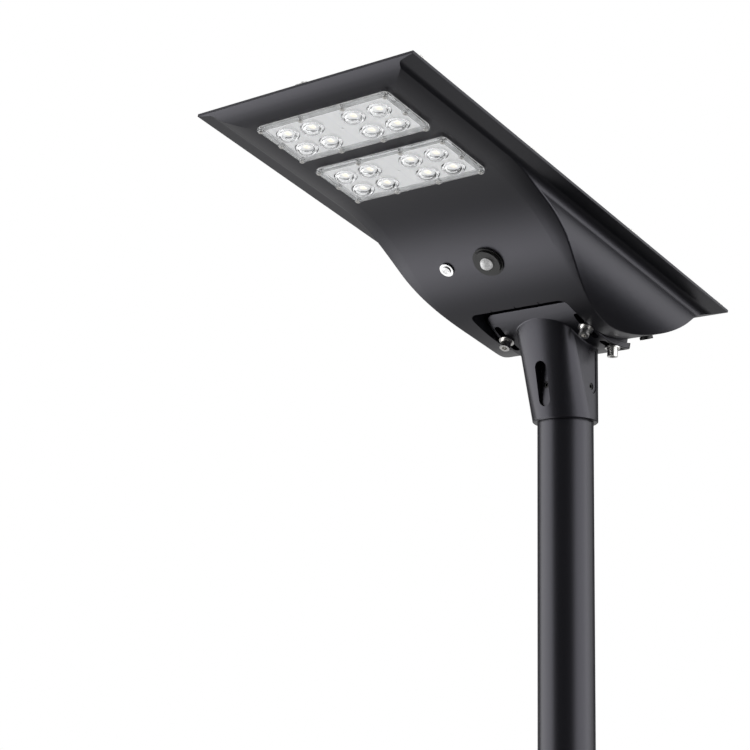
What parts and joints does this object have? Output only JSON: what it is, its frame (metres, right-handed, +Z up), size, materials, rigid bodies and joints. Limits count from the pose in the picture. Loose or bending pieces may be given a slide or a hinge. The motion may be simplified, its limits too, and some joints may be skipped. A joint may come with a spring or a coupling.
{
  "type": "solar street lamp",
  "caption": "Solar street lamp: one-piece head with panel, LED lens modules and battery, on a slotted tilt bracket that turns on a round pole.",
  "frame": {"origin": "centre of the pole section's lower end", "axes": "+Z up the pole, -Y the way the lamp's front points, X across the head"},
  "size_m": [0.287, 0.5725, 0.6645],
  "materials": {
    "head_coat": "satin charcoal powder coat on die-cast aluminium",
    "bracket_coat": "satin charcoal powder coat on cast aluminium",
    "pole_coat": "satin charcoal powder coat on steel tube",
    "stainless": "satin stainless steel",
    "black_steel": "black oxide",
    "panel_glass": "low-iron tempered glass",
    "panel_cells": "dark blue monocrystalline silicon",
    "backsheet": "white laminate",
    "foam": "closed-cell foam tape",
    "lens": "clear moulded polycarbonate",
    "led_board": "white solder mask on an aluminium board",
    "led_phosphor": "yellow phosphor",
    "gasket": "grey silicone",
    "seal": "black silicone",
    "sensor_body": "black moulded plastic",
    "sensor_dome": "milky Fresnel lens",
    "button_metal": "turned and plated",
    "inner_plastic": "black moulded plastic",
    "circuit": "green circuit board",
    "terminal": "green terminal block",
    "battery_wrap": "blue cell sleeve",
    "nickel": "nickel strip",
    "lead": "black lead jacket"
  },
  "bodies": {
    "pole": {"pole_tube": "pole_coat"},
    "bracket": {"bracket": "bracket_coat", "grub_screws": "black_steel"},
    "head": {"housing": "head_coat", "tilt_bolts": "stainless", "tilt_washers": "stainless", "tilt_spring_washers": "stainless", "panel_tape": "foam", "panel_backsheet": "backsheet", "solar_cells": "panel_cells", "panel_glass": "panel_glass", "panel_clips": "stainless", "panel_clip_screws": "stainless", "junction_box": "inner_plastic", "junction_box_lid": "inner_plastic", "sensor_bezel": "sensor_body", "sensor_lens": "sensor_dome", "sensor_ring": "seal", "sensor_board": "circuit", "sensor_nut": "inner_plastic", "button_bush": "button_metal", "button_ring": "seal", "button_spring": "stainless", "button_base": "inner_plastic", "button_nut": "stainless", "battery_cells": "battery_wrap", "battery_links": "nickel", "battery_cradles": "inner_plastic", "battery_clamps": "stainless", "battery_clamp_screws": "stainless", "protection_board": "circuit", "controller_case": "inner_plastic", "controller_lid": "inner_plastic", "controller_terminals": "terminal", "controller_board": "circuit", "controller_screws": "stainless", "vent_plug": "inner_plastic", "vent_seal": "seal", "panel_lead": "lead", "rear_module_lead": "lead", "front_module_lead": "lead", "led_board_front": "led_board", "led_chips_front": "led_phosphor", "led_socket_front": "inner_plastic", "lens_gasket_front": "gasket", "lens_plate_front": "lens", "lens_screws_front": "stainless", "led_board_rear": "led_board", "led_chips_rear": "led_phosphor", "led_socket_rear": "inner_plastic", "lens_gasket_rear": "gasket", "lens_plate_rear": "lens", "lens_screws_rear": "stainless"},
    "button": {"button_cap": "button_metal"}
  },
  "joints": [
    {"name": "bracket_turn", "type": "hinge", "parent": "pole", "child": "bracket", "pos_m": [0, 0, 0.43], "axis": [0, 0, 1], "continuous": true},
    {"name": "head_tilt", "type": "hinge", "parent": "bracket", "child": "head", "pos_m": [0, 0.0195, 0.61], "axis": [-1, 0, 0], "range_deg": [-8, 8]},
    {"name": "button_press", "type": "slide", "parent": "head", "child": "button", "axis": [0, 0.6566, 0.7543], "range_m": [0, 0.0012], "stiffness_N_per_m": 900, "springref_m": -0.0015, "deforming": ["button_spring"]}
  ]
}
